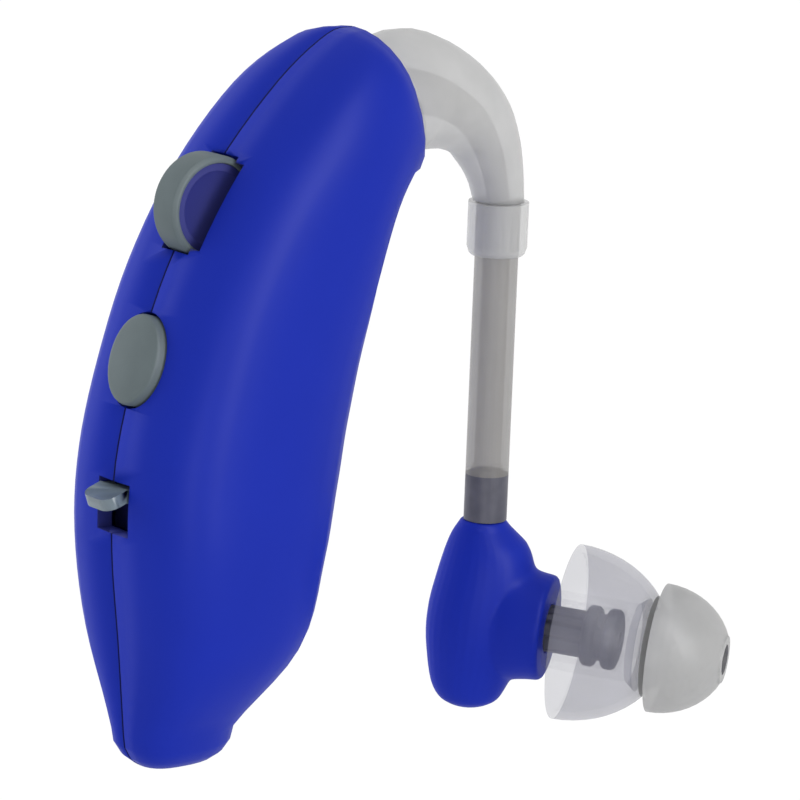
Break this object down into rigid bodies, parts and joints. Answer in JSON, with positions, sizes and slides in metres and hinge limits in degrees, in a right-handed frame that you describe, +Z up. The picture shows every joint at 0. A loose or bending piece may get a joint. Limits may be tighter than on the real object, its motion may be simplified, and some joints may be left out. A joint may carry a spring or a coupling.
{
  "type": "behind-the-ear hearing aid",
  "caption": "Curved clamshell housing with a volume wheel, push button and power lever, a clear ear hook and tube, and an elbow that swivels a soft flanged ear tip toward the ear.",
  "frame": {"origin": "the ear saddle: the point under the ear hook's bend that rests on the top of the ear's root", "axes": "+X forward toward the wearer's face, +Z up, -Y toward the wearer's head when worn on the left ear"},
  "size_m": [0.0464, 0.0232, 0.0513],
  "materials": {
    "shell_blue": "polished, faint marbled streaks",
    "wheel_grey": "satin",
    "dark_blue": "satin",
    "hook_clear": "translucent, polished",
    "tube_clear": "translucent, smooth",
    "collar_white": "translucent, smooth",
    "spigot_grey": "smooth",
    "tip_silicone": "translucent, soft",
    "bare_metal": "plain",
    "contact_brass": "plain",
    "black_plastic": "plain",
    "board_green": "coated",
    "inner_silicone": "soft"
  },
  "bodies": {
    "housing": {"left_shell": "shell_blue", "right_shell": "shell_blue", "volume_control": "black_plastic", "button_switch": "black_plastic", "slide_switch": "black_plastic", "circuit_board": "board_green", "amplifier_chip": "black_plastic", "capacitor": "contact_brass", "microphone": "bare_metal", "microphone_boot": "black_plastic", "receiver": "bare_metal", "receiver_boot": "black_plastic", "inner_tube": "inner_silicone", "hook_nozzle": "bare_metal", "ear_hook": "hook_clear", "tube_collar": "collar_white", "sound_tube": "tube_clear", "hinge_pin": "bare_metal", "cell_contact": "contact_brass"},
    "wheel": {"volume_wheel": "wheel_grey", "wheel_disc": "dark_blue", "wheel_shaft": "bare_metal"},
    "button": {"push_button": "wheel_grey"},
    "lever": {"power_lever": "wheel_grey"},
    "door": {"battery_door": "shell_blue", "battery_cell": "bare_metal"},
    "elbow": {"elbow": "shell_blue", "tube_stem": "spigot_grey", "ear_nozzle": "spigot_grey"},
    "tip": {"ear_tip": "tip_silicone"}
  },
  "joints": [
    {"name": "volume_turn", "type": "hinge", "parent": "housing", "child": "wheel", "pos_m": [-0.01965, 0, -0.00131], "axis": [0, 1, 0], "range_deg": [-135, 135]},
    {"name": "button_press", "type": "slide", "parent": "housing", "child": "button", "axis": [0.9405, 0, -0.3398], "range_m": [0, 0.0004], "stiffness_N_per_m": 100, "springref_m": -0.0004},
    {"name": "power_slide", "type": "slide", "parent": "housing", "child": "lever", "axis": [-0.0626, 0, -0.998], "range_m": [0, 0.00195]},
    {"name": "door_swing", "type": "hinge", "parent": "housing", "child": "door", "pos_m": [-0.01593, 0, -0.03311], "axis": [0, 1, 0], "range_deg": [0, 80]},
    {"name": "elbow_swivel", "type": "hinge", "parent": "housing", "child": "elbow", "pos_m": [0.00522, 0, -0.02778], "axis": [0.0489, 0, 0.9988], "range_deg": [-35, 110]},
    {"name": "tip_pull", "type": "slide", "parent": "elbow", "child": "tip", "axis": [0.5681, -0.8172, -0.0976], "range_m": [0, 0.008]}
  ]
}
